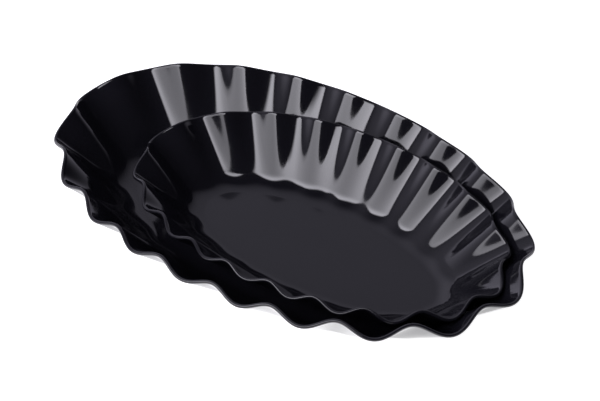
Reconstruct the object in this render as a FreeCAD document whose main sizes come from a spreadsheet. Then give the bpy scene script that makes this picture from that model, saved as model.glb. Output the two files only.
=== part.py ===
import FreeCAD, Part
import math
import os

# Two fluted oval serving dishes, a small one standing inside a large one.
# Each dish is one moulded shell: a flat oval floor, a coved foot, and a flaring wall folded into flutes
# that grow from nothing at the floor to their full height at the rounded rim.
# Millimetres.  +Z is up, X is the long axis, and the origin is the middle of the large dish's base.

Vector = FreeCAD.Vector

# Each row is a cell's alias, its value and what it means.
DIMENSIONS = (
    ("flute_count", 20, "flutes around each rim, with a crest at each end of the long axis"),
    ("flute_spread", 1.42, "how much the flutes are spread out around the ends of the oval"),
    ("flute_end_gain", 0.225, "part by which the flutes are taller at the ends and lower at the sides"),
    ("flute_fade", 0.45, "share of the wall, from the floor up, over which the flutes fade in"),
    ("oval_power", 2.09, "exponent of the oval outline: 2 is an ellipse"),
    ("wall_slope", 48.5, "slope of the straight wall above level, in degrees"),
    ("wall", 2.5, "thickness of the moulding"),
    ("large_half_length", 185.0, "mean rim of the large dish along X"),
    ("large_half_width", 113.5, "mean rim of the large dish along Y"),
    ("large_depth", 50.3, "inside depth of the large dish, floor to mean rim"),
    ("large_cove", 26.0, "inside radius between floor and wall of the large dish"),
    ("large_flute", 4.4, "height of a flute at the large rim, mean to crest"),
    ("large_saddle", 1.1, "fall of the large rim at the ends, and its rise at the sides"),
    ("small_half_length", 142.0, "mean rim of the small dish along X"),
    ("small_half_width", 85.4, "mean rim of the small dish along Y"),
    ("small_depth", 42.0, "inside depth of the small dish, floor to mean rim"),
    ("small_cove", 22.0, "inside radius between floor and wall of the small dish"),
    ("small_flute", 3.45, "height of a flute at the small rim, mean to crest"),
    ("small_saddle", 2.15, "fall of the small rim at the ends, and its rise at the sides"),
    ("small_shift_x", 28.0, "place of the small dish along the large one"),
    ("small_shift_y", -0.5, "place of the small dish across the large one"),
    ("small_turn", 2.0, "turn of the small dish about Z, in degrees"),
    ("small_lift", 2.8, "height of the small dish's base: the large floor and 0.3 of air"),
)

POINTS_PER_FLUTE = 8
WALL_STATIONS = 16
LIP_STATIONS = 6
STEP = 1.0e-4
SEW_TOLERANCE = 1.0e-3


def make_sheet(document):
    """Put the driving dimensions in a spreadsheet, one named cell to each."""
    sheet = document.addObject("Spreadsheet::Sheet", "dims")
    for row, (alias, value, meaning) in enumerate(DIMENSIONS, start=1):
        sheet.set("A%d" % row, alias)
        sheet.set("B%d" % row, str(value))
        sheet.set("C%d" % row, meaning)
        sheet.setAlias("B%d" % row, alias)
    document.recompute()
    return sheet


class Dish:
    """One dish: the formula of its inside surface, and the solid shell made from it."""

    def __init__(self, sheet, size):
        self.count = int(sheet.get("flute_count"))
        self.spread = sheet.get("flute_spread")
        self.end_gain = sheet.get("flute_end_gain")
        self.fade = sheet.get("flute_fade")
        self.power = sheet.get("oval_power")
        self.slope = math.radians(sheet.get("wall_slope"))
        self.wall = sheet.get("wall")
        self.half_length = sheet.get(size + "_half_length")
        self.half_width = sheet.get(size + "_half_width")
        self.depth = sheet.get(size + "_depth")
        self.cove = sheet.get(size + "_cove")
        self.flute = sheet.get(size + "_flute")
        self.saddle = sheet.get(size + "_saddle")
        self.cove_length = self.cove * self.slope
        cove_rise = self.cove * (1.0 - math.cos(self.slope))
        straight = (self.depth - cove_rise) / math.sin(self.slope)
        self.length = self.cove_length + straight
        self.run = self.cove * math.sin(self.slope) + straight * math.cos(self.slope)

    def profile(self, along):
        """Inset from the rim, height over the floor, and slope, at a distance up the smooth wall."""
        angle = min(along / self.cove, self.slope)
        straight = max(along - self.cove_length, 0.0)
        out = self.cove * math.sin(angle) + straight * math.cos(angle)
        rise = self.cove * (1.0 - math.cos(angle)) + straight * math.sin(angle)
        return self.run - out, rise, angle

    def inside(self, turn, along):
        """A point of the inside surface: turn goes round the dish, and along goes up its wall."""
        inset, rise, angle = self.profile(along)
        eccentric = math.atan2(self.spread * math.sin(turn), math.cos(turn))
        reach_x = math.copysign(abs(math.cos(eccentric)) ** (2.0 / self.power), math.cos(eccentric))
        reach_y = math.copysign(abs(math.sin(eccentric)) ** (2.0 / self.power), math.sin(eccentric))
        outward = Vector(reach_x * self.half_width, reach_y * self.half_length, 0.0)
        outward.normalize()
        share = along / self.length
        growth = share * share * (1.0 + self.fade) / (share + self.fade)
        gain = 1.0 + self.end_gain * math.cos(2.0 * turn)
        wave = self.flute * gain * growth * math.cos(self.count * turn)
        sag = self.saddle * growth * math.cos(2.0 * turn)
        smooth = Vector((self.half_length - inset) * reach_x,
                        (self.half_width - inset) * reach_y,
                        self.wall + rise - sag)
        return smooth + outward * (wave * math.sin(angle)) - Vector(0.0, 0.0, wave * math.cos(angle))

    def frame(self, turn, along):
        """A point of the inside surface, the direction into the dish, and the direction up the wall."""
        point = self.inside(turn, along)
        if along == 0.0:
            return point, Vector(0.0, 0.0, 1.0), None
        up_wall = self.inside(turn, along + STEP) - self.inside(turn, along - STEP)
        up_wall.normalize()
        around = self.inside(turn + STEP, along) - self.inside(turn - STEP, along)
        into = up_wall.cross(around)
        into.normalize()
        return point, into, up_wall

    def ring(self, along, place):
        """A closed curve round the dish; place picks its point from the wall's frame."""
        total = self.count * POINTS_PER_FLUTE
        points = []
        for index in range(total):
            turn = 2.0 * math.pi * index / total
            points.append(place(*self.frame(turn, along)))
        curve = Part.BSplineCurve()
        curve.interpolate(Points=points, PeriodicFlag=True)
        return Part.Wire([curve.toShape()])

    def shell(self):
        """The solid dish: its inside wall, round lip, outside wall, floor and base."""
        half = self.wall / 2.0
        heights = [self.length * index / WALL_STATIONS for index in range(WALL_STATIONS + 1)]
        inner = [self.ring(along, lambda point, into, up: point) for along in heights]
        outer = [self.ring(along, lambda point, into, up: point - into * self.wall) for along in heights]
        lip = [inner[-1]]
        for index in range(1, LIP_STATIONS):
            bend = math.pi * index / LIP_STATIONS
            side = half * math.cos(bend) - half
            proud = half * math.sin(bend)
            lip.append(self.ring(self.length, lambda point, into, up: point + into * side + up * proud))
        lip.append(outer[-1])
        faces = [Part.Face(inner[0]), Part.Face(outer[0])]
        for wires in (inner, lip, outer):
            faces.extend(Part.makeLoft(wires, False, False).Faces)
        skin = Part.makeShell(faces)
        skin.sewShape(SEW_TOLERANCE)
        solid = Part.makeSolid(skin)
        if solid.Volume < 0.0:
            solid.reverse()
        return solid


def add_dish(document, sheet, size):
    """Add one dish to the document, under the name that its file takes."""
    node = document.addObject("Part::Feature", size + "_dish")
    node.Label = size + "_dish"
    node.Shape = Dish(sheet, size).shell()
    return node


def place_small_dish(node):
    """Stand the small dish on the large one's floor, towards its +X end."""
    node.setExpression(".Placement.Base.x", "dims.small_shift_x")
    node.setExpression(".Placement.Base.y", "dims.small_shift_y")
    node.setExpression(".Placement.Base.z", "dims.small_lift")
    node.setExpression(".Placement.Rotation.Angle", "dims.small_turn")


def check(document, nodes):
    """Stop if any object failed to build, or any dish isn't one sound solid."""
    for item in document.Objects:
        if "Invalid" in item.State or "Error" in item.State:
            raise RuntimeError("%s failed: %s" % (item.Name, item.State))
    for node in nodes:
        shape = node.Shape
        if shape.isNull() or not shape.isValid() or len(shape.Solids) != 1:
            raise RuntimeError("%s is not one valid solid" % node.Label)


def export(nodes):
    """Write each dish to a STEP file of its own."""
    os.makedirs("parts", exist_ok=True)
    for node in nodes:
        node.Shape.exportStep("parts/%s.step" % node.Label)
        box = node.Shape.BoundBox
        print("%s: %.1f cm3, %.1f x %.1f x %.1f mm"
              % (node.Label, node.Shape.Volume / 1000.0, box.XLength, box.YLength, box.ZLength))


document = FreeCAD.newDocument("fluted_oval_dishes")
sheet = make_sheet(document)
large_dish = add_dish(document, sheet, "large")
small_dish = add_dish(document, sheet, "small")
place_small_dish(small_dish)
document.recompute()
check(document, (large_dish, small_dish))
export((large_dish, small_dish))
gap = large_dish.Shape.distToShape(small_dish.Shape)[0]
print("least gap between the dishes: %.2f mm" % gap)
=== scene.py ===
import math

import bpy
import numpy as np
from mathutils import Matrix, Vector


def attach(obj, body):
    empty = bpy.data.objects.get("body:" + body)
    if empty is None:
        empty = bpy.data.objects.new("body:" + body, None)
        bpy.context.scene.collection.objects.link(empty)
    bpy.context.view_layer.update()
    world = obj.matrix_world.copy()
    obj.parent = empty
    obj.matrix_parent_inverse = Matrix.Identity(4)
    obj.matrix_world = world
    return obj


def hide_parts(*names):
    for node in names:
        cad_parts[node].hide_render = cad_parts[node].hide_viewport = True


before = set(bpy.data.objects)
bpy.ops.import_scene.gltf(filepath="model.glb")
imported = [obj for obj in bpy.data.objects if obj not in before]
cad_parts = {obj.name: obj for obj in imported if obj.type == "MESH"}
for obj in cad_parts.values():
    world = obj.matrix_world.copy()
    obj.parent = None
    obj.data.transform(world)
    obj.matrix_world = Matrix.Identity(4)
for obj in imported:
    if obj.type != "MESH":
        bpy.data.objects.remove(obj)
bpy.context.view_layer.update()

# Two fluted oval dishes in glossy black melamine, a small one standing inside a large one.
# Each visible dish is one fine closed mesh, by the same formula as its CAD shell, and stands for that node.
# Dish sizes are in millimetres, like the CAD sheet's; everything that Blender holds is in metres.

MM = 0.001

# What the two dishes share.
FLUTES = 20
FLUTE_SPREAD = 1.42
FLUTE_END_GAIN = 0.225
FLUTE_FADE = 0.45
OVAL_POWER = 2.09
WALL_SLOPE = math.radians(48.5)
WALL = 2.5

# What sets them apart: mean rim, inside depth, cove radius, flute height, fall of the rim at the ends,
# and place.
DISHES = {
    "large_dish": dict(half_length=185.0, half_width=113.5, depth=50.3, cove=26.0, flute=4.4, saddle=1.1,
                       shift=(0.0, 0.0, 0.0), turn=0.0),
    "small_dish": dict(half_length=142.0, half_width=85.4, depth=42.0, cove=22.0, flute=3.45, saddle=2.15,
                       shift=(28.0, -0.5, 2.8), turn=math.radians(2.0)),
}

# How finely each dish is meshed.  A crowding over 1 draws the wall's rings together towards the floor.
POINTS_AROUND = 28 * FLUTES
WALL_RINGS = 56
WALL_CROWDING = 1.15
LIP_RINGS = 9
FLOOR_RINGS = 12
STEP = 1.0e-4

# The camera, in millimetres and degrees.  Azimuth 0 looks along +Y, and elevation is above the horizon.
CAMERA_TARGET = (10.53, 3.94, 40.0)
CAMERA_DISTANCE = 1092.8
CAMERA_AZIMUTH = 35.78
CAMERA_ELEVATION = 41.18
CAMERA_LENS = 91.69
CAMERA_SENSOR = 36.0

# The softbox's corners, each an azimuth, an elevation and a height in metres:
# low left, low right, high left, high right.
SOFTBOX_CORNERS = ((-45.0, 11.0, 0.32), (5.0, 26.0, 0.55), (-32.0, 55.5, 1.05), (40.0, 49.5, 0.95))
# Its radiance from its low edge up, and what that is multiplied by from left to right.
SOFTBOX_UPWARD = ((0.0, 3.0), (0.3, 3.5), (0.5, 4.8), (0.7, 7.2), (0.86, 7.8), (1.0, 0.0))
SOFTBOX_ACROSS = ((0.0, 0.8), (0.12, 1.2), (0.4, 1.1), (0.7, 1.0), (1.0, 0.95))
SOFTBOX_POINTS = 13
SOFTBOX_TINT = (0.93, 0.915, 1.0, 1.0)

# The dark studio.  Its backdrop fades from low to high, by the sine of the elevation.
BACKDROP_FADE = (0.05, 0.30)
BACKDROP_RADIANCE = (0.85, 0.02)
# Its two soft patches: azimuth, elevation, the angles where each is full and where it is gone, and radiance.
LEFT_PATCH = (-85.0, 24.0, 14.0, 54.0, 0.48)
GREY_WALL = (-144.0, 45.0, 10.0, 52.0, 0.47)
STUDIO_TINT = (0.86, 0.83, 1.0, 1.0)

# Half the side of the studio floor, in metres, and how strongly it glows.
FLOOR_HALF = 6.0
FLOOR_GLOW = 0.95

# The melamine: its two blacks, its least and greatest roughness, and how deep its skin's waves are.
BLACKS = ((0.0062, 0.0060, 0.0086, 1.0), (0.0086, 0.0083, 0.0112, 1.0))
ROUGHNESS = (0.07, 0.11)
SKIN_WAVES = 0.02 * MM
# How many patches of colour, gloss and waviness there are to a metre, roughly.
COLOUR_SCALE = 22.0
GLOSS_SCALE = 35.0
SKIN_SCALE = 140.0
MELAMINE_IOR = 1.52


# ---------------------------------------------------------------- shapes

class Dish:
    """The formula of one dish's inside surface, and the rings of its closed skin."""

    def __init__(self, size):
        self.__dict__.update(size)
        self.cove_length = self.cove * WALL_SLOPE
        straight = (self.depth - self.cove * (1.0 - math.cos(WALL_SLOPE))) / math.sin(WALL_SLOPE)
        self.length = self.cove_length + straight
        self.run = self.cove * math.sin(WALL_SLOPE) + straight * math.cos(WALL_SLOPE)

    def profile(self, along):
        """Inset from the rim, height over the floor, and slope, at a distance up the smooth wall."""
        angle = min(along / self.cove, WALL_SLOPE)
        straight = max(along - self.cove_length, 0.0)
        out = self.cove * math.sin(angle) + straight * math.cos(angle)
        rise = self.cove * (1.0 - math.cos(angle)) + straight * math.sin(angle)
        return self.run - out, rise, angle

    def inside(self, turns, along):
        """The inside surface's points at these turns round the dish, at one distance up its wall."""
        inset, rise, angle = self.profile(along)
        eccentric = np.arctan2(FLUTE_SPREAD * np.sin(turns), np.cos(turns))
        reach_x = np.copysign(np.abs(np.cos(eccentric)) ** (2.0 / OVAL_POWER), np.cos(eccentric))
        reach_y = np.copysign(np.abs(np.sin(eccentric)) ** (2.0 / OVAL_POWER), np.sin(eccentric))
        outward_x = reach_x * self.half_width
        outward_y = reach_y * self.half_length
        outward_length = np.hypot(outward_x, outward_y)
        share = along / self.length
        growth = share * share * (1.0 + FLUTE_FADE) / (share + FLUTE_FADE)
        wave = self.flute * (1.0 + FLUTE_END_GAIN * np.cos(2.0 * turns)) * growth * np.cos(FLUTES * turns)
        sag = self.saddle * growth * np.cos(2.0 * turns)
        x = (self.half_length - inset) * reach_x + wave * math.sin(angle) * outward_x / outward_length
        y = (self.half_width - inset) * reach_y + wave * math.sin(angle) * outward_y / outward_length
        z = WALL + rise - sag - wave * math.cos(angle)
        return np.stack([x, y, z], axis=-1)

    def frame(self, turns, along):
        """Points of the inside surface, the directions into the dish, and those up its wall."""
        points = self.inside(turns, along)
        if along == 0.0:
            return points, np.broadcast_to((0.0, 0.0, 1.0), points.shape), None
        up_wall = unit(self.inside(turns, along + STEP) - self.inside(turns, along - STEP))
        around = self.inside(turns + STEP, along) - self.inside(turns - STEP, along)
        return points, unit(np.cross(up_wall, around)), up_wall

    def rings(self):
        """Every ring of the skin: over the floor, up the wall, over the lip, down and in under the base."""
        turns = np.arange(POINTS_AROUND) * (2.0 * math.pi / POINTS_AROUND)
        heights = np.linspace(0.0, 1.0, WALL_RINGS + 1) ** WALL_CROWDING * self.length
        inner = [self.frame(turns, along) for along in heights]
        floor_edge, base_edge = inner[0][0], inner[0][0] - inner[0][1] * WALL
        shares = np.linspace(0.0, 1.0, FLOOR_RINGS + 1)[1:-1]
        rings = [shrunk(floor_edge, share) for share in shares]
        rings += [points for points, into, up_wall in inner]
        rim, into, up_wall = inner[-1]
        half = WALL / 2.0
        for index in range(1, LIP_RINGS):
            bend = math.pi * index / LIP_RINGS
            rings.append(rim + into * (half * math.cos(bend) - half) + up_wall * (half * math.sin(bend)))
        rings += [points - into * WALL for points, into, up_wall in reversed(inner)]
        rings += [shrunk(base_edge, share) for share in reversed(shares)]
        return rings

    def placed(self, points):
        """Points in the dish's own frame, in millimetres, as Blender coordinates."""
        cosine, sine = math.cos(self.turn), math.sin(self.turn)
        spin = np.array([[cosine, -sine, 0.0], [sine, cosine, 0.0], [0.0, 0.0, 1.0]])
        return (points @ spin.T + np.array(self.shift)) * MM


def unit(vectors):
    """Vectors of length 1."""
    return vectors / np.linalg.norm(vectors, axis=-1, keepdims=True)


def shrunk(ring, share):
    """A flat ring drawn in towards the dish's middle."""
    return ring * np.array([share, share, 1.0])


def closed_skin(rings):
    """Vertices and faces of a closed skin: the rings in order, joined by quads, and a fan at each end."""
    count = len(rings[0])
    vertices = list(rings)
    first_middle, last_middle = len(rings) * count, len(rings) * count + 1
    vertices.append(rings[0][:1] * np.array([0.0, 0.0, 1.0]))
    vertices.append(rings[-1][:1] * np.array([0.0, 0.0, 1.0]))
    faces = []
    for row in range(len(rings) - 1):
        for column in range(count):
            beside = (column + 1) % count
            near, far = row * count, (row + 1) * count
            faces.append((near + column, far + column, far + beside, near + beside))
    last = (len(rings) - 1) * count
    for column in range(count):
        beside = (column + 1) % count
        faces.append((first_middle, column, beside))
        faces.append((last_middle, last + beside, last + column))
    return np.concatenate(vertices), faces


def make_dish(body):
    """One dish's visible mesh, riding on its body in place of its CAD node."""
    dish = Dish(DISHES[body])
    points, faces = closed_skin(dish.rings())
    mesh = bpy.data.meshes.new(body + "_moulding")
    mesh.from_pydata(dish.placed(points).tolist(), [], faces)
    mesh.shade_smooth()
    piece = bpy.data.objects.new(body + "_moulding", mesh)
    bpy.context.scene.collection.objects.link(piece)
    return piece


# ---------------------------------------------------------------- materials

def new_material(name):
    """A node material, its node tree and its Principled shader."""
    material = bpy.data.materials.new(name)
    material.use_nodes = True
    tree = material.node_tree
    return material, tree, tree.nodes["Principled BSDF"]


def noise(tree, coordinates, scale, detail=3.0, roughness=0.5):
    """A noise texture's value, at a scale per metre."""
    node = tree.nodes.new("ShaderNodeTexNoise")
    node.inputs["Scale"].default_value = scale
    node.inputs["Detail"].default_value = detail
    node.inputs["Roughness"].default_value = roughness
    tree.links.new(coordinates, node.inputs["Vector"])
    return node.outputs["Fac"]


def remap(tree, value, from_low, from_high, to_low, to_high):
    """A value carried smoothly from one range to another."""
    node = tree.nodes.new("ShaderNodeMapRange")
    node.interpolation_type = "SMOOTHSTEP"
    node.inputs["From Min"].default_value = from_low
    node.inputs["From Max"].default_value = from_high
    node.inputs["To Min"].default_value = to_low
    node.inputs["To Max"].default_value = to_high
    tree.links.new(value, node.inputs["Value"])
    return node.outputs["Result"]


def ramp(tree, value, stops):
    """A number that runs through the stops, each a position and a level."""
    node = tree.nodes.new("ShaderNodeFloatCurve")
    curve = node.mapping.curves[0]
    top = max(level for position, level in stops)
    curve.points[0].location = (stops[0][0], stops[0][1] / top)
    curve.points[1].location = (stops[-1][0], stops[-1][1] / top)
    for position, level in stops[1:-1]:
        curve.points.new(position, level / top)
    for point in curve.points:
        point.handle_type = "VECTOR"
    node.mapping.update()
    tree.links.new(value, node.inputs["Value"])
    scale = tree.nodes.new("ShaderNodeMath")
    scale.operation = "MULTIPLY"
    scale.inputs[1].default_value = top
    tree.links.new(node.outputs["Value"], scale.inputs[0])
    return scale.outputs["Value"]


def combined(tree, operation, one, other):
    """Two numbers put through a Math node."""
    node = tree.nodes.new("ShaderNodeMath")
    node.operation = operation
    tree.links.new(one, node.inputs[0])
    tree.links.new(other, node.inputs[1])
    return node.outputs["Value"]


def black_melamine():
    """Deep black and glossy, with faintly uneven colour and gloss and a moulded skin's slight waviness."""
    material, tree, shader = new_material("black_melamine")
    place = tree.nodes.new("ShaderNodeTexCoord").outputs["Object"]

    tint = tree.nodes.new("ShaderNodeValToRGB")
    for element, black in zip(tint.color_ramp.elements, BLACKS):
        element.color = black
    tree.links.new(noise(tree, place, COLOUR_SCALE), tint.inputs["Fac"])
    tree.links.new(tint.outputs["Color"], shader.inputs["Base Color"])

    gloss = remap(tree, noise(tree, place, GLOSS_SCALE, 5.0, 0.6), 0.35, 0.75, *ROUGHNESS)
    tree.links.new(gloss, shader.inputs["Roughness"])
    shader.inputs["IOR"].default_value = MELAMINE_IOR

    skin = tree.nodes.new("ShaderNodeBump")
    skin.inputs["Strength"].default_value = 0.12
    skin.inputs["Distance"].default_value = SKIN_WAVES
    tree.links.new(noise(tree, place, SKIN_SCALE, 2.0), skin.inputs["Height"])
    tree.links.new(skin.outputs["Normal"], shader.inputs["Normal"])
    return material


def pale_floor():
    """Matt white paper with the slightest mottle, and a glow of its own that keeps it white."""
    material, tree, shader = new_material("pale_floor")
    place = tree.nodes.new("ShaderNodeTexCoord").outputs["Object"]
    tint = tree.nodes.new("ShaderNodeValToRGB")
    tint.color_ramp.elements[0].color = (0.86, 0.86, 0.86, 1.0)
    tint.color_ramp.elements[1].color = (0.90, 0.90, 0.90, 1.0)
    tree.links.new(noise(tree, place, 3.0), tint.inputs["Fac"])
    tree.links.new(tint.outputs["Color"], shader.inputs["Base Color"])
    shader.inputs["Roughness"].default_value = 0.9
    shader.inputs["Emission Color"].default_value = (1.0, 1.0, 1.0, 1.0)
    shader.inputs["Emission Strength"].default_value = FLOOR_GLOW
    return material


# ---------------------------------------------------------------- studio

def direction(azimuth, elevation):
    """The unit vector from the object towards a place in the studio, from degrees."""
    turn, climb = math.radians(azimuth), math.radians(elevation)
    return Vector((math.sin(turn) * math.cos(climb), -math.cos(turn) * math.cos(climb), math.sin(climb)))


def add_floor():
    """The floor that the large dish stands on."""
    corners = [(x * FLOOR_HALF, y * FLOOR_HALF, 0.0) for x, y in ((-1, -1), (1, -1), (1, 1), (-1, 1))]
    mesh = bpy.data.meshes.new("studio_floor")
    mesh.from_pydata(corners, [], [(0, 1, 2, 3)])
    mesh.materials.append(pale_floor())
    floor = bpy.data.objects.new("studio_floor", mesh)
    bpy.context.scene.collection.objects.link(floor)


def soft_light():
    """The softbox's cloth: brighter upwards, a little dimmer to the right, fading out at the very top."""
    material = bpy.data.materials.new("soft_light")
    material.use_nodes = True
    tree = material.node_tree
    tree.nodes.remove(tree.nodes["Principled BSDF"])
    split = tree.nodes.new("ShaderNodeSeparateXYZ")
    tree.links.new(tree.nodes.new("ShaderNodeTexCoord").outputs["UV"], split.inputs[0])
    upward = ramp(tree, split.outputs["Y"], SOFTBOX_UPWARD)
    across = ramp(tree, split.outputs["X"], SOFTBOX_ACROSS)
    emission = tree.nodes.new("ShaderNodeEmission")
    emission.inputs["Color"].default_value = SOFTBOX_TINT
    tree.links.new(combined(tree, "MULTIPLY", upward, across), emission.inputs["Strength"])
    tree.links.new(emission.outputs["Emission"], tree.nodes["Material Output"].inputs["Surface"])
    return material


def add_softbox():
    """A large soft light over the front left, hung between its four corners."""
    def corner(azimuth, elevation, height):
        towards = direction(azimuth, elevation)
        return np.array(towards * (height / towards.z))

    low_left, low_right, high_left, high_right = (corner(*place) for place in SOFTBOX_CORNERS)
    steps = np.linspace(0.0, 1.0, SOFTBOX_POINTS)
    places = [(across, upward) for upward in steps for across in steps]
    vertices = [(low_left * (1 - across) + low_right * across) * (1 - upward)
                + (high_left * (1 - across) + high_right * across) * upward for across, upward in places]
    row = len(steps)
    faces = [(row * j + i, row * j + i + 1, row * (j + 1) + i + 1, row * (j + 1) + i)
             for j in range(row - 1) for i in range(row - 1)]
    mesh = bpy.data.meshes.new("softbox")
    mesh.from_pydata([tuple(vertex) for vertex in vertices], [], faces)
    layer = mesh.uv_layers.new(name="across_and_upward")
    for loop in mesh.loops:
        layer.data[loop.index].uv = places[loop.vertex_index]
    mesh.materials.append(soft_light())
    softbox = bpy.data.objects.new("softbox", mesh)
    softbox.visible_camera = False
    bpy.context.scene.collection.objects.link(softbox)


def add_surroundings():
    """The dark studio: a pale backdrop low down, a dim patch on the left, and the grey wall behind."""
    world = bpy.data.worlds.new("studio")
    bpy.context.scene.world = world
    world.use_nodes = True
    tree = world.node_tree
    background = tree.nodes["Background"]
    towards = tree.nodes.new("ShaderNodeTexCoord").outputs["Generated"]

    def lobe(azimuth, elevation, inner, outer, radiance):
        """A soft round patch of light, full within inner degrees of its middle and gone outside outer."""
        dot = tree.nodes.new("ShaderNodeVectorMath")
        dot.operation = "DOT_PRODUCT"
        dot.inputs[1].default_value = direction(azimuth, elevation)
        tree.links.new(towards, dot.inputs[0])
        return remap(tree, dot.outputs["Value"], math.cos(math.radians(outer)),
                     math.cos(math.radians(inner)), 0.0, radiance)

    split = tree.nodes.new("ShaderNodeSeparateXYZ")
    tree.links.new(towards, split.inputs[0])
    backdrop = remap(tree, split.outputs["Z"], *BACKDROP_FADE, *BACKDROP_RADIANCE)
    with_left = combined(tree, "ADD", backdrop, lobe(*LEFT_PATCH))
    total = combined(tree, "ADD", with_left, lobe(*GREY_WALL))
    tree.links.new(total, background.inputs["Strength"])
    background.inputs["Color"].default_value = STUDIO_TINT


def add_camera():
    """The camera, looking at the dishes from the front right."""
    camera = bpy.data.objects.new("camera", bpy.data.cameras.new("camera"))
    back = direction(CAMERA_AZIMUTH, CAMERA_ELEVATION)
    camera.location = (Vector(CAMERA_TARGET) + back * CAMERA_DISTANCE) * MM
    camera.rotation_mode = "QUATERNION"
    camera.rotation_quaternion = back.to_track_quat("Z", "Y")
    camera.data.sensor_width = CAMERA_SENSOR
    camera.data.lens = CAMERA_LENS
    camera.data.clip_start = 0.01
    camera.data.clip_end = 50.0
    bpy.context.scene.collection.objects.link(camera)
    bpy.context.scene.camera = camera


melamine = black_melamine()
for body in DISHES:
    dish = make_dish(body)
    dish.data.materials.append(melamine)
    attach(dish, body)
    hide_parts(body)

add_floor()
add_softbox()
add_surroundings()
add_camera()
bpy.context.scene.view_settings.view_transform = "Standard"
